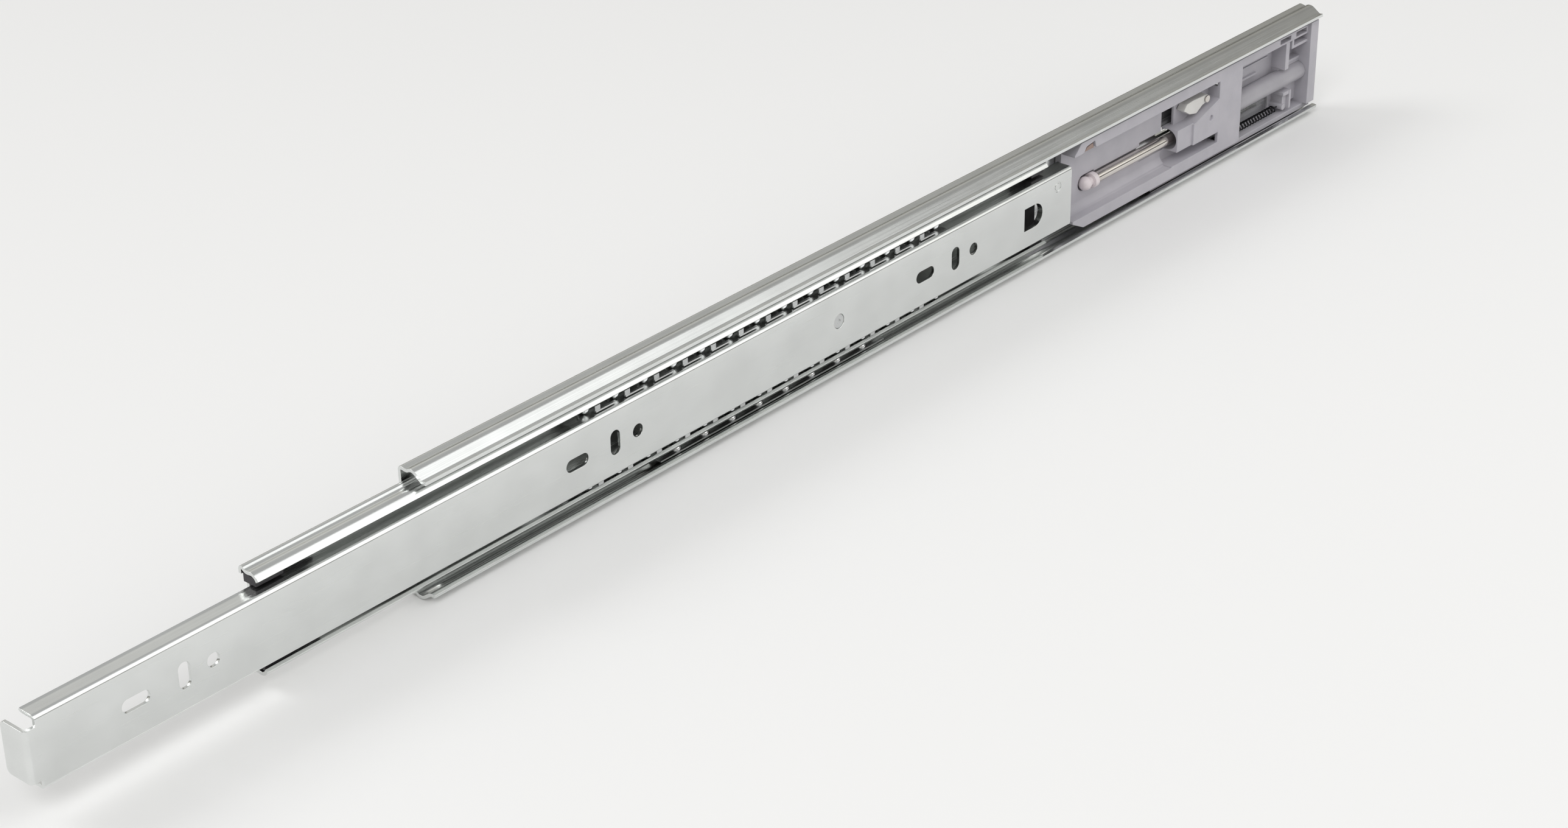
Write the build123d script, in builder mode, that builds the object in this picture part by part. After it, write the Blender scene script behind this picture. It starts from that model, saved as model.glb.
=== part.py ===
import os
from math import cos, pi, radians, sin, sqrt

from build123d import *

os.makedirs("parts", exist_ok=True)

# Driving sizes in mm. X runs to the rear, the drawer opens towards -X,
# Z is up, the mounting face is y = 0 and depth is counted along -Y.
rail_length = 500.0
rail_height = 45.8
slide_thickness = 12.7
sheet = 1.2
ball_diameter = 4.0
ball_play = 0.15
ball_pitch = 13.77
web_gap = 0.85
groove_depth = 0.9
hump_rise = 0.2
drawer_bend = 1.0

# Sliding members. The gaps are those of the pose in the photograph, which is
# the pose at rest, and each member is placed from the one behind it.
intermediate_length = 380.4
carriage_gap = 16.5
drawer_length = 477.6
drawer_behind = 11.9

# Drawer holes: the first set counts from the front end, the last from the rear.
first_slot = 37.2
last_slot = 87.2
slot_to_cross = 17.4
slot_to_hole = 27.9
slot_length = 10.0
slot_width = 4.4
screw_hole = 4.6
striker_from_rear = 28.8
striker_rim = 1.2
rivet_from_rear = 134.7
rivet_head = 5.2
rivet_shank = 2.9
rivet_sink = 0.6

# Cabinet tongues and holes, counted from the cabinet member's front end.
tongue_starts = [26.7, 98.2, 277.0]
tongue_length = 37.2
tongue_half = 10.75
tongue_arm = 3.2
tongue_hole = 6.5
cabinet_slots = [86.0, 157.0]

# Soft-close unit.
soft_stroke = 48.5
stroke_clear = 1.4
rear_wall = 5.5
base_gap = 2.4
carriage_length = 112.6
plate_length = 15.9
plate_clear = 0.9
plate_wall = 1.3
trough_cove = 3.0
guide_depth = 8.4
post_from_wall = 13.9
post_diameter = 2.6
post_top = 8.2
brace_top = 8.6
cylinder_lead = 14.0
damper_depth = 5.3
damper_z = -3.6
rod_diameter = 4.4
knob_diameter = 5.4
knob_neck = 3.8
knob_ring = 6.0
rod_stub = 2.6
cylinder_diameter = 7.6
spring_outer = 3.2
spring_wire = 0.6
spring_turns = 46

# Retainers.
outer_balls = 8
inner_balls = 14
outer_from_rear = 209.5
inner_from_front = 130.9
retainer_sheet = 0.5

# Section of the three members, worked out from the balls.
half = rail_height / 2
race = ball_diameter / 2 + ball_play
mid = race + sheet / 2
corner = 0.7 * sheet
z_out = half - sheet - race
web_i = 1.5 * sheet + web_gap
top_i = z_out - mid + groove_depth
corner_i = (web_i + corner, top_i - corner)
ball_o = (corner_i[0] + sqrt((mid + corner) ** 2 - (z_out - corner_i[1]) ** 2), z_out)
z_in = z_out - 2 * mid + hump_rise
ball_i = (ball_o[0] + sqrt(4 * mid**2 - (2 * mid - hump_rise) ** 2), z_in)
web_d = slide_thickness - sheet / 2
flange = z_in - mid
curl = radians(32)
curl_top = z_in - race * cos(curl)
bend_c = (web_d - drawer_bend, flange - drawer_bend)
drawer_top = flange + sheet / 2
drawer_clear = flange - sheet / 2
inside_d = slide_thickness - sheet

# Places along X.
wall_end = rail_length - rear_wall
rear_c = wall_end - stroke_clear - soft_stroke
front_c = rear_c - carriage_length
plate_c = rear_c - plate_length
floor_end = front_c + 66.0
base_start = rear_c + base_gap
rear_i = front_c - carriage_gap
front_i = rear_i - intermediate_length
rear_d = rear_i + drawer_behind
front_d = rear_d - drawer_length
hole_set_pitch = (drawer_length - first_slot - last_slot) / 2
outer_start = rear_i - outer_from_rear
inner_start = front_i + inner_from_front
plate_top = inside_d - plate_clear
carriage_half = half - 5.2
recess_half = drawer_top + 1.0


def depth_plane(depth):
    """Plane at a depth, with X to the right, Z up and depth as its normal."""
    return Plane(origin=(0, -depth, 0), x_dir=(1, 0, 0), z_dir=(0, -1, 0))


def slab(x0, x1, d0, d1, z0, z1, mode=Mode.ADD):
    """Box between two places on each of X, depth and Z."""
    with Locations(((x0 + x1) / 2, -(d0 + d1) / 2, (z0 + z1) / 2)):
        Box(x1 - x0, d1 - d0, z1 - z0, mode=mode)


def peg(x, z, diameter, d0, d1, mode=Mode.ADD):
    """Cylinder across the slide between two depths."""
    with Locations(Location((x, -(d0 + d1) / 2, z), (90, 0, 0))):
        Cylinder(diameter / 2, d1 - d0, mode=mode)


def bar(x0, x1, depth, z, diameter, mode=Mode.ADD):
    """Cylinder along X between two places."""
    with Locations(Location(((x0 + x1) / 2, -depth, z), (0, 90, 0))):
        Cylinder(diameter / 2, x1 - x0, mode=mode)


def slot(x, z, length, width, d0, d1, upright=False):
    """Cuts a round-ended slot along X, or along Z when upright."""
    run = (length - width) / 2
    dx = 0 if upright else run
    dz = run if upright else 0
    peg(x - dx, z - dz, width, d0, d1, Mode.SUBTRACT)
    peg(x + dx, z + dz, width, d0, d1, Mode.SUBTRACT)
    wx = width / 2 if upright else run
    wz = run if upright else width / 2
    slab(x - wx, x + wx, d0, d1, z - wz, z + wz, Mode.SUBTRACT)


def prism(points, d0, d1, mode=Mode.ADD):
    """Straight-sided outline in X and Z, raised between two depths."""
    with BuildSketch(depth_plane(d0)) as outline:
        with BuildLine():
            Polyline(*points, close=True)
        make_face()
    extrude(outline.sketch, amount=d1 - d0, mode=mode)


def tongue(x0):
    """Cuts the U that frees one mounting tongue, with its hole and slot."""
    x1 = x0 + tongue_length
    inner = tongue_half - tongue_arm
    with BuildSketch(depth_plane(-1)) as cut:
        with BuildLine():
            Polyline(
                (x0, -tongue_half),
                (x1, -tongue_half),
                (x1, -inner),
                (x0 + 4.7, -inner),
                (x0 + 4.7, inner),
                (x1, inner),
                (x1, tongue_half),
                (x0, tongue_half),
                close=True,
            )
        make_face()
        fillet([v for v in cut.vertices() if v.X < x0 + 1], radius=4.0)
        fillet([v for v in cut.vertices() if v.X > x1 - 1], radius=0.4 * tongue_arm)
    extrude(cut.sketch, amount=sheet + 2, mode=Mode.SUBTRACT)
    peg(x0 + 13.7, 0, tongue_hole, -1, sheet + 1, Mode.SUBTRACT)
    slot(x0 + 31.2, 0, 11.0, 4.6, -1, sheet + 1)


def arc(centre, start, end):
    """Short arc about a centre in depth and Z, drawn in the YZ plane."""
    radius = sqrt((start[0] - centre[0]) ** 2 + (start[1] - centre[1]) ** 2)
    across = (start[0] + end[0] - 2 * centre[0], start[1] + end[1] - 2 * centre[1])
    size = sqrt(across[0] ** 2 + across[1] ** 2)
    middle = (centre[0] + radius * across[0] / size, centre[1] + radius * across[1] / size)
    ThreePointArc((-start[0], start[1]), (-middle[0], middle[1]), (-end[0], end[1]))


def straight(start, end):
    """Straight stretch in depth and Z, drawn in the YZ plane."""
    Line((-start[0], start[1]), (-end[0], end[1]))


def flip(point):
    """The same point below the middle of the rail."""
    return (point[0], -point[1])


def between(a, b, share):
    """Point at a share of the way from a to b."""
    return (a[0] + (b[0] - a[0]) * share, a[1] + (b[1] - a[1]) * share)


# Cabinet member: outer channel that screws to the cabinet wall.
near, far = radians(28), radians(35)
t_near = (ball_o[0] - mid * sin(near), ball_o[1] + mid * cos(near))
t_far = (ball_o[0] + mid * sin(far), ball_o[1] + mid * cos(far))
span = (t_far[0] - t_near[0], t_far[1] - t_near[1])
climb = (span[0] * sin(far) + span[1] * cos(far)) / sin(near + far)
apex = (t_near[0] + climb * cos(near), t_near[1] + climb * sin(near))
ledge_z = half - sheet / 2 - 0.8
ledge = (t_near[0] - (t_near[1] - ledge_z) * cos(near) / sin(near), ledge_z)
lip_z = half - 3.2
valley = (t_far[0] + (t_far[1] - lip_z) * cos(far) / sin(far), lip_z)
upper = [
    (slide_thickness - 0.5, lip_z + 0.2),
    valley,
    apex,
    ledge,
    (sheet / 2, half - sheet / 2 - 0.3),
]
lower = [flip(p) for p in reversed(upper)]
bends = [1.5, mid, 1.2, 0.8 * sheet]

with BuildPart() as cabinet_member:
    with BuildSketch(Plane.YZ):
        with BuildLine():
            FilletPolyline(*[(-p[0], p[1]) for p in upper + lower], radius=bends + bends[::-1])
        trace(line_width=sheet)
    extrude(amount=rail_length)
    for start in tongue_starts:
        tongue(start)
    for x in cabinet_slots:
        slot(x, 0, 10.3, 4.4, -1, sheet + 1)
    peg(7.7, 0, 4.5, -1, sheet + 1, Mode.SUBTRACT)
    for side in (-1, 1):
        slab(6.7, 12.2, -1, sheet + 1, side * 17.2 - 2.9, side * 17.2 + 2.9, Mode.SUBTRACT)
        tab_z = side * (top_i + 1.6)
        slab(11.0, 12.2, sheet, sheet + 1.6, tab_z - 0.9, tab_z + 0.9)
        slab(10.9, 12.2, 0.2, sheet, tab_z - 0.9, tab_z + 0.9)
        peg(rail_length - 6, side * 14, 4.5, -1, sheet + 1, Mode.SUBTRACT)
    slot(rail_length - 97, -1.5, 10.0, 2.5, -1, sheet + 1)
    slot(rail_length - 8.5, -5, 7.0, 1.2, -1, sheet + 1)
cabinet_member.part.label = "cabinet_member"
export_step(cabinet_member.part, "parts/cabinet_member.step")

# Intermediate member: channel that runs inside the cabinet member.
sweep_lip = radians(58)
touch_o = between(corner_i, ball_o, corner / (corner + mid))
touch_m = between(ball_o, ball_i, 0.5)
lip_a = (ball_i[0] + mid * sin(sweep_lip), ball_i[1] + mid * cos(sweep_lip))
lip_b = (lip_a[0] + 0.8 * cos(sweep_lip), lip_a[1] - 0.8 * sin(sweep_lip))
web_top = (web_i, corner_i[1])
face_i = web_i - sheet / 2
back_i = web_i + sheet / 2

with BuildPart() as intermediate_member:
    with BuildSketch(Plane.YZ.offset(front_i)):
        with BuildLine():
            straight(lip_b, lip_a)
            arc(ball_i, lip_a, touch_m)
            arc(ball_o, touch_m, touch_o)
            arc(corner_i, touch_o, web_top)
            straight(web_top, flip(web_top))
            arc(flip(corner_i), flip(web_top), flip(touch_o))
            arc(flip(ball_o), flip(touch_o), flip(touch_m))
            arc(flip(ball_i), flip(touch_m), flip(lip_a))
            straight(flip(lip_a), flip(lip_b))
        trace(line_width=sheet)
    extrude(amount=intermediate_length)
    with BuildSketch(depth_plane(face_i - 0.5)) as window:
        with BuildLine():
            Polyline(
                (front_i + 8.9, 6.2),
                (front_i + 8.9, 8.4),
                (front_i + 11.8, 8.4),
                (front_i + 11.8, 11.7),
                (front_i + 18.2, 11.7),
                (front_i + 18.2, 8.1),
                (front_i + 15.4, 8.1),
                (front_i + 15.4, -4.5),
                (front_i + 17.6, -8.5),
                (front_i + 17.6, -12.0),
                (front_i + 10.8, -12.0),
                (front_i + 10.8, -8.5),
                (front_i + 8.9, -4.5),
                (front_i + 8.9, -1.4),
            )
            ThreePointArc(
                (front_i + 8.9, -1.4), (front_i + 5.1, 2.4), (front_i + 8.9, 6.2)
            )
        make_face()
    extrude(window.sketch, amount=sheet + 1, mode=Mode.SUBTRACT)
    slab(front_i + 27.2, rear_i - 26, face_i - 1, back_i + 1, -2.8, 8.2, Mode.SUBTRACT)
    slab(front_i - 1, front_i + 2.5, face_i - 1, back_i + 0.1, 8.7, 15.5, Mode.SUBTRACT)
    for side in (-1, 1):
        slab(rear_i - 9, rear_i - 4, face_i - 1, back_i + 1, side * 8 - 2, side * 8 + 2, Mode.SUBTRACT)
intermediate_member.part.label = "intermediate_member"
export_step(intermediate_member.part, "parts/intermediate_member.step")

# Drawer member: inner channel that carries the drawer side.
edge_d = (ball_i[0] - mid * sin(curl), ball_i[1] - mid * cos(curl))
groove = (ball_i[0], flange)
bend_top = (bend_c[0], flange)
web_end = (web_d, bend_c[1])
tab_half = drawer_clear - 2.2
tab_back = 1.9
cut_back = front_d + 4.0
through = (inside_d - 1, slide_thickness + 1)
striker_x = rear_d - striker_from_rear
rivet_x = rear_d - rivet_from_rear
flange_low = ball_i[0] - (mid + sheet / 2) * sin(curl)

with BuildPart() as drawer_member:
    with BuildSketch(Plane.YZ.offset(cut_back)):
        with BuildLine():
            arc(ball_i, edge_d, groove)
            straight(groove, bend_top)
            arc(bend_c, bend_top, web_end)
            straight(web_end, flip(web_end))
            arc(flip(bend_c), flip(web_end), flip(bend_top))
            straight(flip(bend_top), flip(groove))
            arc(flip(ball_i), flip(groove), flip(edge_d))
        trace(line_width=sheet)
    extrude(amount=drawer_length - 4.0)
    slab(front_d, cut_back + 1, inside_d, slide_thickness, -tab_half, tab_half)
    slab(front_d, front_d + sheet, tab_back, slide_thickness, -tab_half, tab_half)
    upright = drawer_member.edges().filter_by(Axis.Z).sort_by(Axis.X)
    nose = [e for e in upright if abs(e.center().Y + slide_thickness) < 0.01]
    fillet(nose[0], radius=1.3 * sheet)
    along = drawer_member.edges().filter_by(Axis.X)
    fillet([e for e in along if abs(e.center().Y + tab_back) < 0.01], radius=1.8)
    for k in range(3):
        x = front_d + first_slot + k * hole_set_pitch
        slot(x, 0, slot_length, slot_width, *through)
        slot(x + slot_to_cross, 0, 2 * slot_width, slot_width, *through, upright=True)
        peg(x + slot_to_hole, 0, screw_hole, *through, Mode.SUBTRACT)
    peg(rivet_x, 0, rivet_shank + 0.1, *through, Mode.SUBTRACT)
    peg(rivet_x, 0, rivet_head + 0.2, slide_thickness - rivet_sink, slide_thickness + 1, Mode.SUBTRACT)
    slab(striker_x - 1, striker_x + 6.5, inside_d - striker_rim, inside_d, -5.5, 5.5)
    peg(striker_x + 6.5, 0, 11.0, inside_d - striker_rim, inside_d)
    slab(striker_x, striker_x + 6.5, inside_d - 3, slide_thickness + 1, -4.5, 4.5, Mode.SUBTRACT)
    peg(striker_x + 6.5, 0, 9.0, inside_d - 3, slide_thickness + 1, Mode.SUBTRACT)
    peg(rear_d - 8.5, 6.6, 4.0, slide_thickness - 0.3, slide_thickness + 1, Mode.SUBTRACT)
    peg(rear_d - 8.5, 6.6, 2.8, slide_thickness - 0.3, slide_thickness)
drawer_member.part.label = "drawer_member"
export_step(drawer_member.part, "parts/drawer_member.step")

# Sunk rivet and rubber stop inside the drawer member.
with BuildPart() as stop_rivet:
    seat = slide_thickness - rivet_sink
    peg(rivet_x, 0, rivet_shank, inside_d - 2.6, seat)
    peg(rivet_x, 0, rivet_head, seat, seat + 0.4)
    fillet(stop_rivet.faces().sort_by(Axis.Y)[0].edges(), radius=0.2)
    peg(rivet_x, 0, 1.7, seat + 0.1, seat + 1, Mode.SUBTRACT)
stop_rivet.part.label = "stop_rivet"
export_step(stop_rivet.part, "parts/stop_rivet.step")

with BuildPart() as stop_block:
    slab(rivet_x - 6, rivet_x + 6, inside_d - 3, inside_d, -7, 7)
    fillet(stop_block.edges().filter_by(Axis.Y), radius=2.0)
    peg(rivet_x, 0, rivet_shank + 0.1, inside_d - 4, inside_d + 1, Mode.SUBTRACT)
stop_block.part.label = "stop_block"
export_step(stop_block.part, "parts/stop_block.step")

# Plastic bumpers at both ends of the intermediate member.
plate_half = corner_i[1] - 1.3
arm_z = (curl_top + 0.4, z_in + 0.7 * race)
arm_d = ball_i[0] + 0.67 * race
pad = back_i + 1.9

with BuildPart() as front_bumper:
    slab(front_i + 2.6, front_i + 25, back_i, pad, -plate_half, plate_half)
    for side in (-1, 1):
        low, high = sorted((side * arm_z[0], side * arm_z[1]))
        slab(front_i + 0.5, front_i + 11, back_i + 0.1, arm_d, low, high)
    shown = (face_i + 0.2, back_i)
    slab(front_i + 9.2, front_i + 15.1, *shown, -4.4, 8.1)
    slab(front_i + 12.1, front_i + 17.9, *shown, 8.1, 11.4)
    slab(front_i + 11.1, front_i + 17.3, *shown, -11.7, -8.6)
    peg(front_i + 8.9, 2.4, 7.0, *shown)
    prism(
        [
            (front_i + 9.2, -4.4),
            (front_i + 15.1, -4.4),
            (front_i + 17.3, -8.6),
            (front_i + 11.1, -8.6),
        ],
        *shown,
    )
front_bumper.part.label = "front_bumper"
export_step(front_bumper.part, "parts/front_bumper.step")

with BuildPart() as rear_bumper:
    slab(rear_i - 12, rear_i - 0.5, back_i, pad, -plate_half, plate_half)
    for side in (-1, 1):
        low, high = sorted((side * arm_z[0], side * arm_z[1]))
        slab(rear_i - 8, rear_i - 0.5, back_i + 0.1, arm_d, low, high)
        slab(rear_i - 8.7, rear_i - 4.3, face_i + 0.2, back_i, side * 8 - 1.7, side * 8 + 1.7)
rear_bumper.part.label = "rear_bumper"
export_step(rear_bumper.part, "parts/rear_bumper.step")

# Ball retainers. The outer one is a single channel, the inner one two strips.
outer_length = (outer_balls - 1) * ball_pitch + 2 * 9.8
inner_length = (inner_balls - 1) * ball_pitch + 2 * 6.5
outer_x = [outer_start + 9.8 + k * ball_pitch for k in range(outer_balls)]
inner_x = [inner_start + 6.5 + k * ball_pitch for k in range(inner_balls)]
pocket = ball_diameter + 0.3

with BuildPart() as outer_retainer:
    with BuildSketch(Plane.YZ.offset(outer_start)):
        with BuildLine():
            FilletPolyline(
                (-ball_o[0] - pocket / 2 - 0.6, z_out),
                (-sheet - web_gap / 2, z_out),
                (-sheet - web_gap / 2, -z_out),
                (-ball_o[0] - pocket / 2 - 0.6, -z_out),
                radius=0.8,
            )
        trace(line_width=0.9 * retainer_sheet)
    extrude(amount=outer_length)
    for side in (-1, 1):
        with Locations([(x, -ball_o[0], side * z_out) for x in outer_x]):
            Cylinder(pocket / 2, 3, mode=Mode.SUBTRACT)
    slab(outer_start + 12, outer_start + outer_length - 12, 0, 3, -13, 13, Mode.SUBTRACT)
outer_retainer.part.label = "outer_retainer"
export_step(outer_retainer.part, "parts/outer_retainer.step")


def strip(side):
    """One inner retainer strip: an open pocket for each ball and a hooked tab between."""
    thin = retainer_sheet
    rim = ball_i[0] + 1.0
    lip = ball_i[0] + race
    ledge_low = drawer_top + 0.35

    def band(x0, x1, d0, d1, z0, z1):
        low, high = sorted((side * z0, side * z1))
        slab(x0, x1, d0, d1, low, high)

    end = inner_start + inner_length
    band(inner_start, end, ball_i[0] - pocket / 2 - 0.7, rim, z_in - thin / 2, z_in + thin / 2)
    for x in inner_x[:-1]:
        hook = x + 2.7
        band(hook, hook + 2.4, rim - 0.5, lip + thin, z_in - thin / 2, z_in + thin / 2)
        band(hook, hook + 2.4, lip, lip + thin, ledge_low, z_in)
        band(hook, x + ball_pitch - 2.4, lip, lip + 1.0, ledge_low, ledge_low + thin)
    with Locations([(x, -ball_i[0], side * z_in) for x in inner_x]):
        Cylinder(pocket / 2, 1, mode=Mode.SUBTRACT)
    with Locations([(x + ball_pitch / 2, -ball_i[0] + 1.2, side * z_in) for x in inner_x[:-1]]):
        Box(5.2, 1.8, 1, mode=Mode.SUBTRACT)


with BuildPart() as inner_retainer_upper:
    strip(1)
inner_retainer_upper.part.label = "inner_retainer_upper"
export_step(inner_retainer_upper.part, "parts/inner_retainer_upper.step")

with BuildPart() as inner_retainer_lower:
    strip(-1)
inner_retainer_lower.part.label = "inner_retainer_lower"
export_step(inner_retainer_lower.part, "parts/inner_retainer_lower.step")

with BuildPart() as outer_balls_upper:
    with Locations([(x, -ball_o[0], z_out) for x in outer_x]):
        Sphere(ball_diameter / 2)
outer_balls_upper.part.label = "outer_balls_upper"
export_step(outer_balls_upper.part, "parts/outer_balls_upper.step")

with BuildPart() as outer_balls_lower:
    with Locations([(x, -ball_o[0], -z_out) for x in outer_x]):
        Sphere(ball_diameter / 2)
outer_balls_lower.part.label = "outer_balls_lower"
export_step(outer_balls_lower.part, "parts/outer_balls_lower.step")

with BuildPart() as inner_balls_upper:
    with Locations([(x, -ball_i[0], z_in) for x in inner_x]):
        Sphere(ball_diameter / 2)
inner_balls_upper.part.label = "inner_balls_upper"
export_step(inner_balls_upper.part, "parts/inner_balls_upper.step")

with BuildPart() as inner_balls_lower:
    with Locations([(x, -ball_i[0], -z_in) for x in inner_x]):
        Sphere(ball_diameter / 2)
inner_balls_lower.part.label = "inner_balls_lower"
export_step(inner_balls_lower.part, "parts/inner_balls_lower.step")

# Soft-close base: fixed housing at the rear of the cabinet member.
floor_top = sheet + 0.8
guide_in = carriage_half + 0.3
guide_out = half - 2.9
skin = plate_top - plate_wall
low_bars = 3.7
damper_bore = rod_diameter + 0.6
cylinder_x = base_start - cylinder_lead
post_x = wall_end - post_from_wall
post_z = -(recess_half + carriage_half - 0.4) / 2

with BuildPart() as soft_close_base:
    slab(base_start, rail_length, sheet, floor_top, -guide_in, guide_in)
    for side in (-1, 1):
        low, high = sorted((side * guide_in, side * guide_out))
        slab(front_c + 54, rail_length, sheet, guide_depth, low, high)
        peg(rail_length - 6, side * 14, 4.2, 0.3, sheet)
    slab(wall_end, rail_length, sheet, guide_depth, -guide_in, guide_in)
    slab(wall_end, rail_length, guide_depth, plate_top, -carriage_half, carriage_half)
    top = (recess_half + 0.1, carriage_half - 1.1)
    slab(base_start, wall_end, floor_top, skin - 0.3, *top)
    slab(base_start, base_start + 15, floor_top, flange_low - 0.4, drawer_clear + 0.4, top[0] - 0.7)
    slab(base_start, base_start + 26, floor_top, low_bars, 8.8, 10.8)
    peg(base_start + 26, 9.8, 2.0, floor_top, low_bars)
    slab(base_start, base_start + 14, floor_top, low_bars, 10.7, top[0])
    slab(base_start, base_start + 28, floor_top, low_bars - 0.8, 6.9, 7.6)
    slab(base_start, base_start + 8, floor_top, low_bars, 4.2, 6.6)
    peg(base_start + 8, 5.4, 2.4, floor_top, low_bars)
    slab(base_start, base_start + 20, floor_top, low_bars - 0.6, 2.2, 3.2)
    for x0, x1 in ((post_x - 6.4, post_x + 1.4), (post_x + 5.2, wall_end - 0.9)):
        slab(x0, x1, low_bars, skin, top[0] + 0.8, top[1] - 0.7, Mode.SUBTRACT)
    slab(post_x - 1.4, post_x + 1.2, floor_top, skin - 0.6, 1.4, top[0])
    slab(post_x + 2.6, post_x + 4.0, floor_top, skin - 0.4, 9.4, top[0])
    slab(post_x + 4.0, wall_end, floor_top, skin - 0.4, 9.4, 10.6)
    slab(post_x + 1.2, wall_end, floor_top, 5.6, 1.4, 2.6)
    cradle = cylinder_diameter / 2 + 1.2
    slab(post_x - 1.2, wall_end, floor_top, damper_depth, damper_z - cradle, damper_z + cradle)
    bar(base_start - 1, wall_end, damper_depth, damper_z, cylinder_diameter, Mode.SUBTRACT)
    slab(post_x + 3.0, post_x + 4.4, floor_top, skin - 0.5, -top[1], damper_z - cradle)
    slab(post_x + 4.4, wall_end, floor_top, 4.4, -top[1], damper_z - cradle)
    slab(post_x, post_x + 3.0, floor_top, post_top - 0.8, post_z - post_diameter / 2, damper_z - cradle)
    peg(post_x, post_z, post_diameter, floor_top, post_top)
    spring_edge = damper_z - cradle - 0.8
    slab(base_start - 1, post_x - 2.6, 0, floor_top + 0.2, -guide_in, spring_edge, Mode.SUBTRACT)
    slab(post_x - 1.2, post_x + 3.0, floor_top, brace_top, damper_z - cradle - 1.6, damper_z - cradle)
soft_close_base.part.label = "soft_close_base"
export_step(soft_close_base.part, "parts/soft_close_base.step")

with BuildPart() as damper_cylinder:
    bar(cylinder_x, wall_end, damper_depth, damper_z, cylinder_diameter)
    chamfer(damper_cylinder.edges().sort_by(Axis.X)[0], length=0.6)
    bar(cylinder_x - 1, wall_end - 0.5, damper_depth, damper_z, damper_bore, Mode.SUBTRACT)
damper_cylinder.part.label = "damper_cylinder"
export_step(damper_cylinder.part, "parts/damper_cylinder.step")

# Soft-close carriage: frame that the drawer member pushes to the rear.
walls = (recess_half, carriage_half)
block_z = damper_z - cylinder_diameter / 2 - 0.8
knob_x = front_c + 14.5
cove_turn = -1.4 * trough_cove
notch_floor = plate_top - 2.0

with BuildPart() as soft_close_carriage:
    slab(front_c, floor_end, 1.5, 4.2, -carriage_half, carriage_half)
    for side in (-1, 1):
        low, high = sorted((side * walls[0], side * walls[1]))
        slab(front_c, floor_end, 4.2, plate_top, low, high)
        slab(floor_end, rear_c, skin, plate_top, low, high)
        low, high = sorted((side * (walls[1] - 0.7), side * walls[1]))
        slab(floor_end, rear_c, 2.4, skin, low, high)
    with BuildSketch(Plane.YZ.offset(front_c)) as cove:
        with BuildLine():
            corner_at = (-4.2, -walls[0])
            Line(corner_at, (-4.2 - trough_cove, -walls[0]))
            RadiusArc((-4.2 - trough_cove, -walls[0]), (-4.2, -walls[0] + trough_cove), cove_turn)
            Line((-4.2, -walls[0] + trough_cove), corner_at)
        make_face()
    extrude(cove.sketch, amount=floor_end - front_c)
    slab(floor_end - 1, plate_c + 1, 2.4, plate_top, -walls[0] - 0.25, -walls[0] + 0.35)
    slab(plate_c, rear_c, skin, plate_top, -carriage_half, carriage_half)
    slab(plate_c, plate_c + 1.3, 4.0, skin, block_z, drawer_clear)
    slab(floor_end, plate_c + 1.3, 2.4, 3.4, -walls[0], block_z)
    slab(floor_end + 7, plate_c, 4.0, 5.0, 0.5, drawer_clear)
    block_top = damper_z + cylinder_diameter / 2 + 0.8
    slab(floor_end + 3, plate_c, 2.4, inside_d - striker_rim - 0.25, block_z, block_top)
    prism(
        [
            (floor_end + 13, block_z),
            (plate_c, block_z),
            (plate_c, 6.2),
            (floor_end + 13, 0.6),
        ],
        4.0,
        inside_d - 0.6,
    )
    prism(
        [
            (front_c - 1, carriage_half + 1),
            (front_c + 5, carriage_half + 1),
            (front_c - 1, carriage_half - 5),
        ],
        0,
        plate_top + 1,
        Mode.SUBTRACT,
    )
    prism(
        [
            (front_c - 1, -carriage_half - 1),
            (front_c + 9, -carriage_half - 1),
            (front_c - 1, -carriage_half + 4),
        ],
        0,
        plate_top + 1,
        Mode.SUBTRACT,
    )
    wide = cylinder_diameter + 0.7
    bar(front_c + 51.5, rear_c + 1, damper_depth, damper_z, wide, Mode.SUBTRACT)
    bar(knob_x, front_c + 52, damper_depth, damper_z, rod_diameter + 1.0, Mode.SUBTRACT)
    bar(knob_x, knob_x + 7, damper_depth, damper_z, knob_ring + 0.7, Mode.SUBTRACT)
    peg(knob_x, damper_z, knob_diameter + 0.8, 1, 12, Mode.SUBTRACT)
    slab(front_c + 52.3, floor_end + 1, 3.4, 8.6, -walls[1] + 0.7, -walls[0] - 0.3, Mode.SUBTRACT)
    peg(plate_c - 5.6, -0.4, 2.4, inside_d - 1.4, inside_d, Mode.SUBTRACT)
    prism(
        [
            (front_c + 5.0, walls[0] - 1),
            (front_c + 14.0, walls[0] - 1),
            (front_c + 12.6, walls[0] + 3.0),
            (front_c + 7.4, walls[0] + 2.2),
        ],
        notch_floor,
        plate_top + 1,
        Mode.SUBTRACT,
    )
soft_close_carriage.part.label = "soft_close_carriage"
export_step(soft_close_carriage.part, "parts/soft_close_carriage.step")

with BuildPart() as carriage_clip:
    prism(
        [
            (front_c + 6.6, walls[0] + 0.2),
            (front_c + 12.6, walls[0] + 0.2),
            (front_c + 11.9, walls[0] + 2.2),
            (front_c + 8.2, walls[0] + 1.6),
        ],
        notch_floor,
        plate_top - 0.4,
    )
carriage_clip.part.label = "carriage_clip"
export_step(carriage_clip.part, "parts/carriage_clip.step")

# Piston rod and the moulded knob that holds it in the carriage.
rod_end = cylinder_x + 12.0
with BuildPart() as piston_rod:
    bar(knob_x - 1.5, knob_x + 3.8, damper_depth, damper_z, rod_stub)
    bar(knob_x + 3.8, rod_end, damper_depth, damper_z, rod_diameter)
piston_rod.part.label = "piston_rod"
export_step(piston_rod.part, "parts/piston_rod.step")

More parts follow.
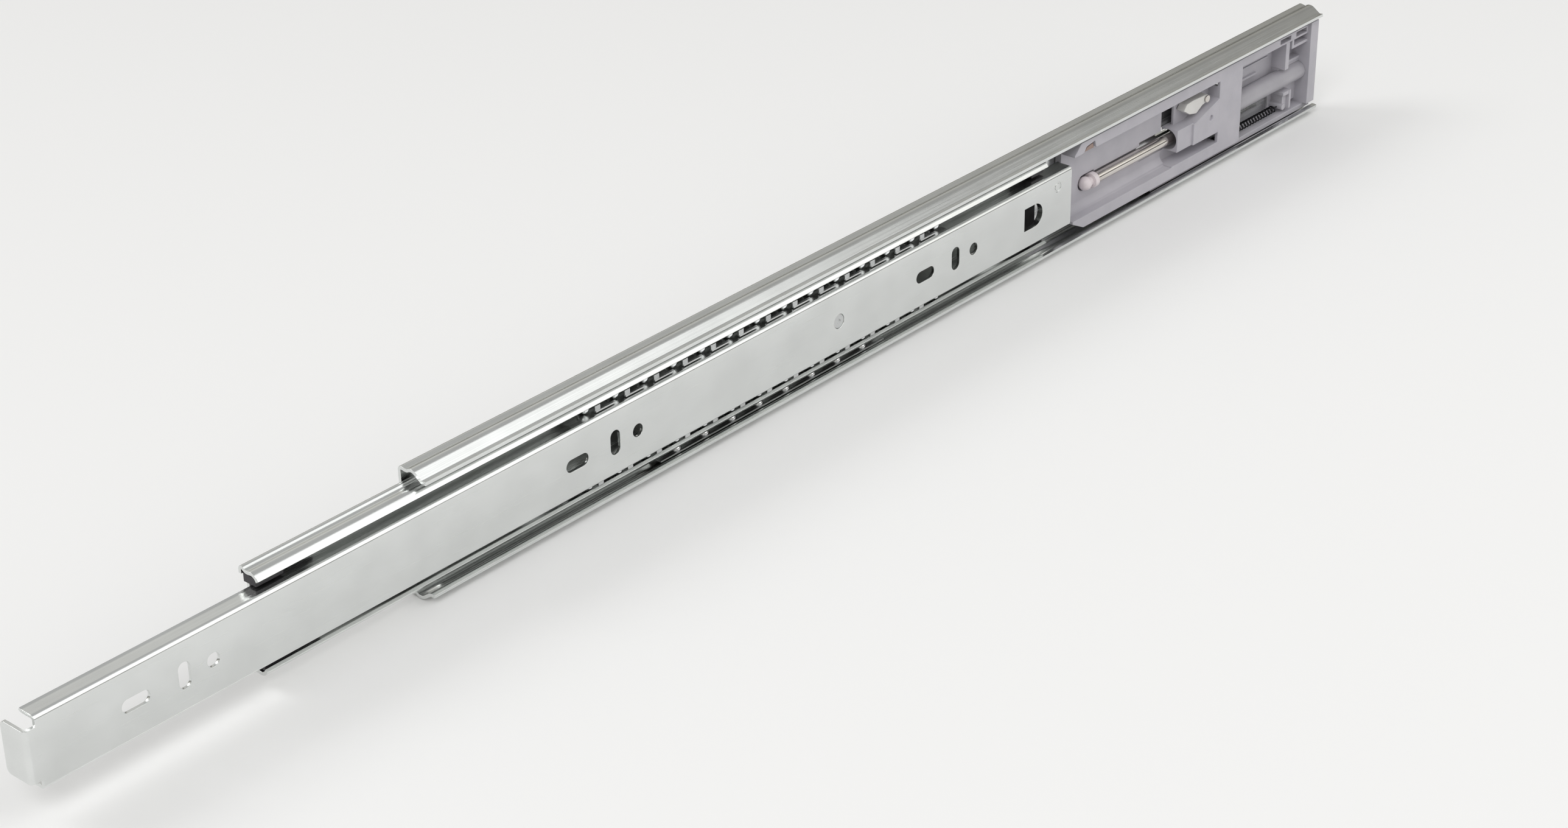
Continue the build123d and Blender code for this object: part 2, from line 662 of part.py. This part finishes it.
with BuildPart() as rod_knob:
    with Locations((knob_x, -damper_depth, damper_z)):
        Sphere(knob_diameter / 2)
    bar(knob_x, knob_x + 4, damper_depth, damper_z, knob_neck)
    bar(knob_x + 3.2, knob_x + 5.6, damper_depth, damper_z, knob_ring)
    bar(knob_x - 1.5, knob_x + 4, damper_depth, damper_z, rod_stub + 0.04, Mode.SUBTRACT)
    bar(knob_x + 3.8, knob_x + 8, damper_depth, damper_z, rod_diameter + 0.04, Mode.SUBTRACT)
rod_knob.part.label = "rod_knob"
export_step(rod_knob.part, "parts/rod_knob.step")

# Latch lever and its pin on the carriage.
latch_x = plate_c - 7.0
latch_z = drawer_clear - 3.1

with BuildPart() as latch_lever:
    prism(
        [
            (latch_x, latch_z + 1.6),
            (latch_x - 8.6, latch_z + 2.0),
            (latch_x - 13.4, latch_z + 1.7),
            (latch_x - 15.2, latch_z - 0.6),
            (latch_x - 11.2, latch_z - 3.2),
            (latch_x - 6.6, latch_z - 4.2),
            (latch_x - 2.6, latch_z - 2.0),
            (latch_x, latch_z - 1.6),
        ],
        5.3,
        9.0,
    )
    peg(latch_x, latch_z, 3.2, 5.3, 9.0)
    peg(latch_x, latch_z, 2.2, 5, 9.5, Mode.SUBTRACT)
latch_lever.part.label = "latch_lever"
export_step(latch_lever.part, "parts/latch_lever.step")

with BuildPart() as latch_pin:
    peg(latch_x, latch_z, 1.8, 5.0, 9.3)
    peg(latch_x, latch_z, 2.9, 9.3, 9.7)
latch_pin.part.label = "latch_pin"
export_step(latch_pin.part, "parts/latch_pin.step")

# Return spring: one tube on biarcs of half turns, from the carriage to the post.
spring_d = 6.0
spring_from = front_c + 52.6
spring_to = post_x - 1.6
coil_r = (spring_outer - spring_wire) / 2
coil_from = spring_from + 2.2
coil_pitch = (spring_to - 2.2 - coil_from) / spring_turns


def coil_node(turn):
    """Place and direction on the coil after a number of turns."""
    a = 2 * pi * turn
    place = Vector(
        coil_from + coil_pitch * turn, coil_r * cos(a) - spring_d, coil_r * sin(a) + post_z
    )
    run = Vector(coil_pitch, -2 * pi * coil_r * sin(a), 2 * pi * coil_r * cos(a))
    return place, run.normalized()


ahead = Vector(1, 0, 0)
stations = [(Vector(spring_from, -spring_d, post_z), ahead)]
for k in range(2 * spring_turns + 1):
    stations.append(coil_node(k / 2))
stations.append((Vector(spring_to, -spring_d, post_z), ahead))

with BuildPart() as return_spring:
    with BuildLine() as coil:
        for (p, s), (q, t) in zip(stations[:-1], stations[1:]):
            chord = q - p
            both = s + t
            bend = 2 * (1 - s.dot(t))
            along_chord = chord.dot(both)
            reach_1 = (sqrt(along_chord**2 + bend * chord.dot(chord)) - along_chord) / bend
            left = p + s * reach_1
            right = q - t * reach_1
            joint = (left + right) * 0.5
            TangentArc(p, joint, tangent=s)
            TangentArc(joint, q, tangent=(right - left).normalized())
    with BuildSketch(Plane(origin=stations[0][0], z_dir=(1, 0, 0))):
        Circle(spring_wire / 2)
    sweep(path=coil.wires()[0])
return_spring.part.label = "return_spring"
export_step(return_spring.part, "parts/return_spring.step")

trail = [coil.wires()[0].position_at(k / 1600) for k in range(1601)]
skip = int(0.7 * 1600 / spring_turns)
least = min(
    (trail[a] - trail[b]).length for a in range(1601) for b in range(a + skip, min(a + 4 * skip, 1601))
)
print("return_spring least gap to itself", round(least - spring_wire, 2))
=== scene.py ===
"""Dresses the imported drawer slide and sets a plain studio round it."""
import logging
import math
from dataclasses import dataclass, field
from enum import Enum

import bmesh
import bpy
from mathutils import Matrix, Vector
from mathutils.bvhtree import BVHTree
from mathutils.geometry import area_tri, intersect_point_line, normal


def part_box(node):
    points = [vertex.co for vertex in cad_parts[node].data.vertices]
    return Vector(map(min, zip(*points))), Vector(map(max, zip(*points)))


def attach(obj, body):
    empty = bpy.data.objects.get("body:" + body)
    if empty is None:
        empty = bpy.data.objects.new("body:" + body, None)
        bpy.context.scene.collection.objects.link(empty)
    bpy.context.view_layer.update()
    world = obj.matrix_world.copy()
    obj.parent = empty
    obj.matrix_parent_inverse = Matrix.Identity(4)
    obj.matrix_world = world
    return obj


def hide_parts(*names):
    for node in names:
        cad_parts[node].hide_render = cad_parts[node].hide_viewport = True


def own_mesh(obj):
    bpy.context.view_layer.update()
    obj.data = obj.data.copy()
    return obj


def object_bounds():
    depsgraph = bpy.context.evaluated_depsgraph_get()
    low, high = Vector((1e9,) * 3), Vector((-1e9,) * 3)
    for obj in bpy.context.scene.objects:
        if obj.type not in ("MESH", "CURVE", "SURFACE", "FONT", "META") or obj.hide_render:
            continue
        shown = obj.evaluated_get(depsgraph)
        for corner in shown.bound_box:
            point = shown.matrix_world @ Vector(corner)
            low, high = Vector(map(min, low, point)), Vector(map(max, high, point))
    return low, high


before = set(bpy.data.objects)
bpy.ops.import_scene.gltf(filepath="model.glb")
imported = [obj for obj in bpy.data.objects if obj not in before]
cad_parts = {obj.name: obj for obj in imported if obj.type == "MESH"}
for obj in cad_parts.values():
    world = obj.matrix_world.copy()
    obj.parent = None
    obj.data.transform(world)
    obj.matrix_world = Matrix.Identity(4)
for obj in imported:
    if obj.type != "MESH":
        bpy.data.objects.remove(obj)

log = logging.getLogger("drawer_slide")

Colour = tuple[float, float, float]
Place = tuple[float, float, float]
Stretch = tuple[float, float, float]
CAD_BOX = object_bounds()


class Grain(Enum):
    """Direction in which a metal was rolled or drawn."""

    ALONG = (14.0, 2600.0, 2600.0)
    ROUND = (900.0, 60.0, 60.0)
    NONE = (300.0, 300.0, 300.0)


class Graph:
    """Node tree of one material, with short ways to add and join nodes."""

    noise_range: tuple[float, float] = (0.3, 0.7)
    tint_range: tuple[float, float] = (0.32, 0.68)
    edge_samples: int = 6

    def __init__(self, name: str) -> None:
        """Starts an empty tree that holds one shader and its output.

        Args:
            name: The material's name.
        """
        self.material = bpy.data.materials.new(name)
        self.material.use_nodes = True
        self.tree = self.material.node_tree
        self.tree.nodes.clear()
        self.shader = self.add("ShaderNodeBsdfPrincipled")
        out = self.add("ShaderNodeOutputMaterial")
        self.join(self.shader, "BSDF", out, "Surface")

    def add(self, kind: str, **values: object) -> bpy.types.Node:
        """Adds a node and sets its attributes.

        Args:
            kind: Blender's name of the node type.
            **values: Attributes of the node.

        Returns:
            The new node.
        """
        node = self.tree.nodes.new(kind)
        for key, value in values.items():
            setattr(node, key, value)
        return node

    def join(self, a: bpy.types.Node, out: str | int, b: bpy.types.Node, into: str | int) -> None:
        """Links an output of one node to an input of another.

        Args:
            a: The node that gives.
            out: Name or number of its output.
            b: The node that takes.
            into: Name or number of its input.
        """
        self.tree.links.new(a.outputs[out], b.inputs[into])

    def noise(self, stretch: Stretch, detail: float, rough: float = 0.5) -> bpy.types.Node:
        """Noise on Object coordinates.

        Args:
            stretch: Repeats per metre along X, Y and Z.
            detail: Octaves of the noise.
            rough: Share that each octave keeps of the one before.

        Returns:
            The noise node.
        """
        coords = self.add("ShaderNodeTexCoord")
        place = self.add("ShaderNodeMapping")
        place.inputs["Scale"].default_value = stretch
        node = self.add("ShaderNodeTexNoise")
        node.inputs["Scale"].default_value = 1.0
        node.inputs["Detail"].default_value = detail
        node.inputs["Roughness"].default_value = rough
        self.join(coords, "Object", place, "Vector")
        self.join(place, "Vector", node, "Vector")
        return node

    def spread(self, node: bpy.types.Node, low: float, high: float) -> bpy.types.Node:
        """Maps a noise to a range.

        Args:
            node: The noise node.
            low: Value at the noise's low end.
            high: Value at the noise's high end.

        Returns:
            The node that gives the mapped value.
        """
        ranged = self.add("ShaderNodeMapRange")
        ranged.inputs["From Min"].default_value = self.noise_range[0]
        ranged.inputs["From Max"].default_value = self.noise_range[1]
        ranged.inputs["To Min"].default_value = low
        ranged.inputs["To Max"].default_value = high
        self.join(node, "Fac", ranged, "Value")
        return ranged

    def tint(self, node: bpy.types.Node, low: Colour, high: Colour) -> None:
        """Colours the shader between two colours by a noise.

        Args:
            node: The noise node.
            low: Colour at the noise's low end.
            high: Colour at the noise's high end.
        """
        ramp = self.add("ShaderNodeValToRGB")
        marks = ramp.color_ramp.elements
        for mark, place, colour in zip(marks, self.tint_range, (low, high)):
            mark.position = place
            mark.color = (*colour, 1.0)
        self.join(node, "Fac", ramp, "Fac")
        self.join(ramp, "Color", self.shader, "Base Color")

    def raise_by(self, node: bpy.types.Node, depth: float, strength: float, edge: float) -> None:
        """Gives the shader a fine relief from a noise, over softened edges.

        Args:
            node: The noise node.
            depth: Height of the relief in metres.
            strength: Share of that height that shows.
            edge: Radius in metres that the corners look broken by.
        """
        broken = self.add("ShaderNodeBevel", samples=self.edge_samples)
        broken.inputs["Radius"].default_value = edge
        bump = self.add("ShaderNodeBump")
        bump.inputs["Distance"].default_value = depth
        bump.inputs["Strength"].default_value = strength
        self.join(node, "Fac", bump, "Height")
        self.join(broken, "Normal", bump, "Normal")
        self.join(bump, "Normal", self.shader, "Normal")


@dataclass(frozen=True)
class Metal:
    """Bare or plated metal with rolling lines and a faint clouding."""

    name: str
    dark: Colour
    light: Colour
    smooth: float
    dull: float
    grain: Grain = Grain.ALONG
    relief: float = 0.12
    depth: float = 0.00002
    edge: float = 0.00015
    clouds: Stretch = (55.0, 70.0, 70.0)
    cloud_detail: float = 3.0
    line_detail: float = 4.0
    line_rough: float = 0.6

    def material(self) -> bpy.types.Material:
        """Makes the finish as a material.

        Returns:
            The new material.
        """
        g = Graph(self.name)
        g.shader.inputs["Metallic"].default_value = 1.0
        cloud = g.noise(self.clouds, self.cloud_detail)
        lines = g.noise(self.grain.value, self.line_detail, self.line_rough)
        g.tint(cloud, self.dark, self.light)
        g.join(g.spread(lines, self.smooth, self.dull), "Result", g.shader, "Roughness")
        g.raise_by(lines, self.depth, self.relief, self.edge)
        return g.material


@dataclass(frozen=True)
class Moulding:
    """Moulded plastic or rubber with a fine spark-eroded skin."""

    name: str
    dark: Colour
    light: Colour
    smooth: float
    dull: float
    pits: Stretch = (2600.0, 2600.0, 2600.0)
    pit_detail: float = 2.0
    relief: float = 0.18
    depth: float = 0.00003
    edge: float = 0.0004
    streaks: Stretch = (90.0, 90.0, 90.0)
    streak_detail: float = 4.0

    def material(self) -> bpy.types.Material:
        """Makes the finish as a material.

        Returns:
            The new material.
        """
        g = Graph(self.name)
        flow = g.noise(self.streaks, self.streak_detail)
        skin = g.noise(self.pits, self.pit_detail)
        g.tint(flow, self.dark, self.light)
        g.join(g.spread(skin, self.smooth, self.dull), "Result", g.shader, "Roughness")
        g.raise_by(skin, self.depth, self.relief, self.edge)
        return g.material


ZINC = Metal("zinc_plate", (0.72, 0.735, 0.725), (0.78, 0.795, 0.785), 0.17, 0.29)
STRIP = Metal("pressed_strip", (0.52, 0.53, 0.53), (0.66, 0.67, 0.67), 0.24, 0.40)
BALL = Metal("ball_steel", (0.80, 0.81, 0.82), (0.86, 0.87, 0.88), 0.06, 0.10, Grain.NONE, 0.02)
RIVET = Metal("rivet_steel", (0.50, 0.51, 0.51), (0.64, 0.65, 0.65), 0.24, 0.38, Grain.NONE)
ROD = Metal("drawn_rod", (0.66, 0.62, 0.58), (0.76, 0.72, 0.68), 0.10, 0.20, Grain.ROUND, 0.06)
CLIP = Metal("dull_clip", (0.30, 0.22, 0.19), (0.42, 0.32, 0.28), 0.36, 0.52, Grain.NONE)
WIRE = Metal("black_wire", (0.020, 0.020, 0.022), (0.040, 0.040, 0.042), 0.30, 0.46, Grain.NONE)
HOUSING = Moulding("housing_plastic", (0.43, 0.42, 0.46), (0.49, 0.475, 0.515), 0.42, 0.56)
CYLINDER = Moulding("cylinder_plastic", (0.35, 0.34, 0.37), (0.40, 0.39, 0.42), 0.34, 0.46)
LATCH = Moulding("latch_plastic", (0.64, 0.63, 0.61), (0.72, 0.71, 0.69), 0.30, 0.42)
KNOB = Moulding("knob_plastic", (0.66, 0.59, 0.62), (0.76, 0.69, 0.71), 0.26, 0.38)
INSERT = Moulding("insert_plastic", (0.020, 0.018, 0.022), (0.034, 0.031, 0.036), 0.44, 0.60)
STOP = Moulding("stop_rubber", (0.012, 0.012, 0.012), (0.022, 0.022, 0.022), 0.62, 0.80)

Finish = Metal | Moulding


@dataclass(frozen=True)
class BrokenEdge:
    """How far a piece's corners are broken, and which of them can be.

    Lengths are in metres and angles in radians. The fields nearby and beside are
    multiples of the radius, and against and twisted are cosines.
    """

    radius: float
    steps: int = 2
    curve: float = 0.5
    tries: int = 8
    corner: float = math.radians(40.0)
    flat: float = math.radians(0.5)
    same_point: float = 0.000001
    speck: float = 1e-11
    nearby: float = 2.5
    beside: float = 1.6
    against: float = 0.3
    twisted: float = 0.7

    def folded(self, mesh: bmesh.types.BMesh, skin: BVHTree) -> list[Vector]:
        """Finds triangles that point against the unbroken skin or twist.

        Args:
            mesh: The piece with its corners broken.
            skin: The piece before that.

        Returns:
            The corners of the first kind and the middles of the second.
        """
        places = []
        for loops in mesh.calc_loop_triangles():
            corners = [loop.vert.co.copy() for loop in loops]
            if area_tri(*corners) > self.speck:
                facing = normal(*corners)
                middle = sum(corners, Vector()) / 3
                near = skin.find_nearest_range(middle, self.nearby * self.radius)
                if near and max(facing.dot(hit[1]) for hit in near) < self.against:
                    places += corners
                elif facing.dot(loops[0].face.normal) < self.twisted:
                    places.append(middle)
        return places

    def touches(self, edge: bmesh.types.BMEdge, place: Vector) -> bool:
        """Tells whether a place is close to an edge.

        Args:
            edge: The edge.
            place: The place.

        Returns:
            True where the place is close.
        """
        start, end = (v.co for v in edge.verts)
        share = intersect_point_line(place, start, end)[1]
        foot = start.lerp(end, min(max(share, 0.0), 1.0))
        return (foot - place).length < self.beside * self.radius

    def choose(self, mesh: bmesh.types.BMesh) -> list[bmesh.types.BMEdge]:
        """Chooses the corners that can be broken without folding a face.

        The corners are broken on a trial copy. Those beside a fold are spared, and the
        next trial is made without them.

        Args:
            mesh: The merged piece.

        Returns:
            The edges to break.
        """
        skin = BVHTree.FromBMesh(mesh)
        mesh.edges.index_update()
        chosen = [edge for edge in mesh.edges if edge.calc_face_angle(0.0) > self.corner]
        for _ in range(self.tries):
            trial = mesh.copy()
            trial.edges.ensure_lookup_table()
            bmesh.ops.bevel(
                trial,
                geom=[trial.edges[edge.index] for edge in chosen],
                offset=self.radius,
                segments=self.steps,
                profile=self.curve,
                affect="EDGES",
                clamp_overlap=False,
                loop_slide=False,
            )
            trial.normal_update()
            places = self.folded(trial, skin)
            trial.free()
            spared = [e for e in chosen if any(self.touches(e, place) for place in places)]
            if not spared:
                break
            chosen = [edge for edge in chosen if edge not in spared]
        return chosen

    def mark(self, piece: bpy.types.Object) -> None:
        """Marks the corners to break, in edit mode.

        Args:
            piece: The merged piece.
        """
        mesh = bmesh.from_edit_mesh(piece.data)
        weight = mesh.edges.layers.float.new("bevel_weight_edge")
        for edge in self.choose(mesh):
            edge[weight] = 1.0
        bmesh.update_edit_mesh(piece.data)


FINE = BrokenEdge(0.00012)
SOFT = BrokenEdge(0.0002)


def paint(pieces: list[bpy.types.Object], finish: Finish) -> None:
    """Gives pieces one finish.

    Args:
        pieces: The pieces, or CAD nodes.
        finish: What they are made of.
    """
    skin = finish.material()
    for piece in pieces:
        piece.data.materials.clear()
        piece.data.materials.append(skin)
        log.info("%s: %s", piece.name, finish.name)


def paint_nodes(names: tuple[str, ...], finish: Finish) -> None:
    """Gives CAD nodes one finish."""
    paint([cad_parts[name] for name in names], finish)


@dataclass(frozen=True)
class Refined:
    """A CAD node that is shown as a copy with broken corners."""

    node: str
    name: str
    body: str
    slot: str
    edge: BrokenEdge

    def build(self) -> bpy.types.Object:
        """Copies and merges the node, breaks its corners and lets it ride.

        Returns:
            The finished copy.
        """
        piece = bpy.data.objects.new(self.name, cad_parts[self.node].data.copy())
        bpy.context.collection.objects.link(piece)
        bpy.ops.object.select_all(action="DESELECT")
        piece.select_set(True)
        bpy.context.view_layer.objects.active = piece
        bpy.ops.mesh.customdata_custom_splitnormals_clear()
        bpy.ops.object.mode_set(mode="EDIT")
        bpy.ops.mesh.select_all(action="SELECT")
        bpy.ops.mesh.remove_doubles(threshold=self.edge.same_point)
        bpy.ops.mesh.dissolve_limited(angle_limit=self.edge.flat)
        self.edge.mark(piece)
        bpy.ops.object.mode_set(mode="OBJECT")
        bevel = piece.modifiers.new("broken_edge", "BEVEL")
        bevel.limit_method = "WEIGHT"
        bevel.width = self.edge.radius
        bevel.segments = self.edge.steps
        bevel.use_clamp_overlap = False
        bevel.loop_slide = False
        bevel.face_strength_mode = "FSTR_ALL"
        bpy.ops.object.modifier_apply(modifier=bevel.name)
        bpy.ops.object.shade_smooth_by_angle(angle=self.edge.corner)
        even = piece.modifiers.new("flat_faces", "WEIGHTED_NORMAL")
        even.keep_sharp = True
        even.use_face_influence = True
        bpy.ops.object.modifier_apply(modifier=even.name)
        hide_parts(self.node)
        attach(piece, self.body)
        log.info("%s: %d faces", piece.name, len(piece.data.polygons))
        return piece


@dataclass
class Members:
    """The three nested channels and what is fixed into them."""

    channels: tuple[Refined, ...] = (
        Refined("cabinet_member", "cabinet_channel", "cabinet", "zinc_steel", FINE),
        Refined("intermediate_member", "middle_channel", "intermediate", "zinc_steel", FINE),
        Refined("drawer_member", "drawer_channel", "drawer", "zinc_steel", FINE),
    )
    inserts: tuple[Refined, ...] = (
        Refined("front_bumper", "front_insert", "intermediate", "charcoal_plastic", FINE),
        Refined("rear_bumper", "rear_insert", "intermediate", "charcoal_plastic", FINE),
    )
    stop: Refined = Refined("stop_block", "stop_pad", "drawer", "stop_rubber", SOFT)

    def build(self) -> dict[Finish, list[bpy.types.Object]]:
        """Makes the copies.

        Returns:
            The copies by finish.
        """
        return {
            ZINC: [piece.build() for piece in self.channels],
            INSERT: [piece.build() for piece in self.inserts],
            STOP: [self.stop.build()],
        }

    def dress(self, pieces: dict[Finish, list[bpy.types.Object]]) -> None:
        """Gives each piece its finish.

        Args:
            pieces: The copies by finish.
        """
        for finish, made in pieces.items():
            paint(made, finish)
        paint_nodes(("stop_rivet",), RIVET)


@dataclass
class BallCages:
    """The retainers between the members, with their balls."""

    strips: tuple[str, ...] = ("outer_retainer", "inner_retainer_upper", "inner_retainer_lower")
    outer_balls: tuple[str, ...] = ("outer_balls_upper", "outer_balls_lower")
    inner_balls: tuple[str, ...] = ("inner_balls_upper", "inner_balls_lower")

    def dress(self) -> None:
        """Gives each piece its finish."""
        paint_nodes(self.strips, STRIP)
        paint_nodes(self.outer_balls + self.inner_balls, BALL)


@dataclass
class ReturnSpring:
    """Black wire spring that draws the carriage home."""

    turns: int = 46
    points_per_turn: int = 12
    wire: float = 0.0006
    outer: float = 0.0032
    lead: float = 0.0022
    stroke: float = 0.0485
    curve_order: int = 4
    curve_steps: int = 2
    wire_steps: int = 2

    def places(self) -> list[Vector]:
        """Control points of the wire, from the carriage to the post.

        Returns:
            The points, in metres.
        """
        low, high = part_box("return_spring")
        axis_y = (low[1] + high[1]) / 2
        axis_z = (low[2] + high[2]) / 2
        step = 2 * math.pi / self.points_per_turn
        # A cubic curve runs inside its control points by this share.
        pull_in = (2 + math.cos(step)) / 3
        radius = (self.outer - self.wire) / 2 / pull_in
        count = self.turns * self.points_per_turn
        start = low[0] + self.lead
        run = high[0] - self.lead - start
        route = [Vector((low[0], axis_y, axis_z)), Vector((low[0] + self.lead / 2, axis_y, axis_z))]
        for k in range(count + 1):
            x = start + run * k / count
            y = axis_y + radius * math.cos(k * step)
            z = axis_z + radius * math.sin(k * step)
            route.append(Vector((x, y, z)))
        route.append(Vector((high[0] - self.lead / 2, axis_y, axis_z)))
        route.append(Vector((high[0], axis_y, axis_z)))
        return route

    def build(self) -> bpy.types.Object:
        """Winds the wire and lets it ride with the cabinet.

        Returns:
            The finished spring.
        """
        bpy.ops.object.select_all(action="DESELECT")
        bpy.ops.curve.primitive_nurbs_path_add(location=(0.0, 0.0, 0.0))
        path = bpy.context.object
        path.name = "spring_wire"
        line = path.data.splines[0]
        route = self.places()
        line.points.add(len(route) - len(line.points))
        for point, place in zip(line.points, route):
            point.co = (*place, 1.0)
        line.order_u = self.curve_order
        line.use_endpoint_u = True
        line.resolution_u = self.curve_steps
        path.data.bevel_depth = self.wire / 2
        path.data.bevel_resolution = self.wire_steps
        path.data.use_fill_caps = True
        bpy.ops.object.convert(target="MESH")
        spring = bpy.context.object
        bpy.ops.object.shade_smooth()
        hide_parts("return_spring")
        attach(spring, "cabinet")
        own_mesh(spring)
        log.info("%s: %d turns", spring.name, self.turns)
        return spring


@dataclass
class SoftClose:
    """The soft-close unit at the rear, with its damper, latch and spring."""

    housing: tuple[Refined, ...] = (
        Refined("soft_close_base", "unit_base", "cabinet", "grey_plastic", FINE),
        Refined("soft_close_carriage", "unit_carriage", "carriage", "grey_plastic", FINE),
    )
    damper: Refined = Refined("damper_cylinder", "damper_body", "cabinet", "cylinder_plastic", SOFT)
    lug: Refined = Refined("carriage_clip", "carriage_lug", "carriage", "clip_brass", FINE)
    latch: Refined = Refined("latch_lever", "latch_arm", "latch", "latch_plastic", SOFT)
    spring: ReturnSpring = field(default_factory=ReturnSpring)

    def build(self) -> dict[Finish, list[bpy.types.Object]]:
        """Makes the copies and winds the spring.

        Returns:
            The copies and the spring by finish.
        """
        return {
            HOUSING: [piece.build() for piece in self.housing],
            CYLINDER: [self.damper.build()],
            CLIP: [self.lug.build()],
            LATCH: [self.latch.build()],
            WIRE: [self.spring.build()],
        }

    def dress(self, pieces: dict[Finish, list[bpy.types.Object]]) -> None:
        """Gives each piece its finish.

        Args:
            pieces: The copies and the spring by finish.
        """
        for finish, made in pieces.items():
            paint(made, finish)
        paint_nodes(("piston_rod", "latch_pin"), ROD)
        paint_nodes(("rod_knob",), KNOB)


@dataclass(frozen=True)
class Softbox:
    """One square lamp of the studio, with lengths in metres."""

    name: str
    place: Place
    aim: Place
    side: float
    glow: float

    def hang(self) -> None:
        """Hangs the lamp and turns it to its aim. A glow of 1 is a white face."""
        bpy.ops.object.light_add(type="AREA", location=self.place)
        lamp = bpy.context.object
        lamp.name = self.name
        lamp.data.shape = "SQUARE"
        lamp.data.size = self.side
        lamp.data.energy = self.glow * math.pi * self.side * self.side
        lamp.rotation_euler = (Vector(self.aim) - Vector(self.place)).to_track_quat("-Z", "Y").to_euler()


class MixSocket(Enum):
    """Numbers of the colour sockets of Blender's Mix node."""

    FIRST = 6
    SECOND = 7
    RESULT = 2


@dataclass
class Studio:
    """Floor, soft light and the camera of the photograph."""

    eye: Vector = field(default_factory=lambda: Vector((-0.536906, -0.627260, 0.479540)))
    right: Vector = field(default_factory=lambda: Vector((0.65433, -0.75609, -0.01319)))
    down: Vector = field(default_factory=lambda: Vector((-0.36716, -0.30240, -0.87963)))
    focal_pixels: float = 5087.5
    image_width: float = 2576.0
    sensor_width: float = 36.0
    nearest: float = 0.02
    floor_size: float = 9.0
    floor_middle: float = 0.2
    floor_gap: float = 0.0003
    floor_colour: Colour = (0.90, 0.90, 0.90)
    floor_rough: float = 0.9
    sky: tuple[tuple[float, Colour], ...] = (
        (0.02, (0.05, 0.05, 0.05)),
        (0.15, (0.22, 0.21, 0.19)),
        (0.30, (0.60, 0.59, 0.54)),
        (0.42, (0.78, 0.77, 0.73)),
        (0.50, (0.78, 0.77, 0.75)),
        (0.62, (0.52, 0.52, 0.51)),
        (0.98, (0.50, 0.50, 0.50)),
    )
    far_end: tuple[tuple[float, Colour], ...] = (
        (0.55, (1.0, 1.0, 1.0)),
        (0.70, (0.75, 0.75, 0.74)),
        (0.80, (0.45, 0.44, 0.42)),
    )
    lamps: tuple[Softbox, ...] = (
        Softbox("key_box", (0.75, -0.95, 0.95), (0.25, 0.0, 0.0), 1.6, 0.95),
        Softbox("left_box", (-1.6, -0.9, 2.0), (0.1, 0.0, 0.0), 1.2, 4.0),
        Softbox("back_box", (-0.90, 1.50, 1.50), (0.10, 0.0, 0.0), 1.0, 4.0),
    )

    def floor(self) -> None:
        """Lays a pale floor under the slide."""
        bpy.ops.object.select_all(action="DESELECT")
        low = CAD_BOX[0][2] - self.floor_gap
        bpy.ops.mesh.primitive_plane_add(size=self.floor_size, location=(self.floor_middle, 0.0, low))
        ground = bpy.context.object
        ground.name = "floor"
        g = Graph("pale_floor")
        g.shader.inputs["Base Color"].default_value = (*self.floor_colour, 1.0)
        g.shader.inputs["Roughness"].default_value = self.floor_rough
        ground.data.materials.append(g.material)

    def light(self) -> None:
        """Sets the world, which shades by height and along the slide, and the lamps."""
        world = bpy.data.worlds.new("studio")
        bpy.context.scene.world = world
        world.use_nodes = True
        tree = world.node_tree
        sky = tree.nodes["Background"]
        coords = tree.nodes.new("ShaderNodeTexCoord")
        split = tree.nodes.new("ShaderNodeSeparateXYZ")
        blend = tree.nodes.new("ShaderNodeMix")
        blend.data_type = "RGBA"
        blend.blend_type = "MULTIPLY"
        blend.inputs["Factor"].default_value = 1.0
        tree.links.new(coords.outputs["Generated"], split.inputs["Vector"])
        shades = (("Z", self.sky, MixSocket.FIRST), ("X", self.far_end, MixSocket.SECOND))
        for axis, stops, socket in shades:
            ramp = tree.nodes.new("ShaderNodeValToRGB")
            marks = ramp.color_ramp.elements
            # A ramp can't be empty, so its first mark goes when the new ones are in.
            marks.remove(marks[1])
            for place, colour in stops:
                marks.new(place).color = (*colour, 1.0)
            marks.remove(marks[0])
            tree.links.new(split.outputs[axis], ramp.inputs["Fac"])
            tree.links.new(ramp.outputs["Color"], blend.inputs[socket.value])
        tree.links.new(blend.outputs[MixSocket.RESULT.value], sky.inputs["Color"])
        sky.inputs["Strength"].default_value = 1.0
        for lamp in self.lamps:
            lamp.hang()

    def camera(self) -> None:
        """Places the camera where the photograph was taken from."""
        data = bpy.data.cameras.new("camera")
        data.sensor_width = self.sensor_width
        data.sensor_fit = "HORIZONTAL"
        data.lens = self.focal_pixels / self.image_width * data.sensor_width
        data.clip_start = self.nearest
        cam = bpy.data.objects.new("camera", data)
        bpy.context.collection.objects.link(cam)
        right = self.right.normalized()
        up = (-self.down).normalized()
        turn = Matrix((right, up, right.cross(up))).transposed()
        cam.matrix_world = Matrix.Translation(self.eye) @ turn.to_4x4()
        bpy.context.scene.camera = cam


def main() -> None:
    """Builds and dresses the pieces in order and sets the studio."""
    logging.basicConfig(level=logging.INFO, format="%(name)s: %(message)s")
    bpy.context.scene.view_settings.view_transform = "Standard"
    members = Members()
    members.dress(members.build())
    BallCages().dress()
    unit = SoftClose()
    unit.dress(unit.build())
    studio = Studio()
    studio.floor()
    studio.light()
    studio.camera()


if __name__ == "__main__":
    main()
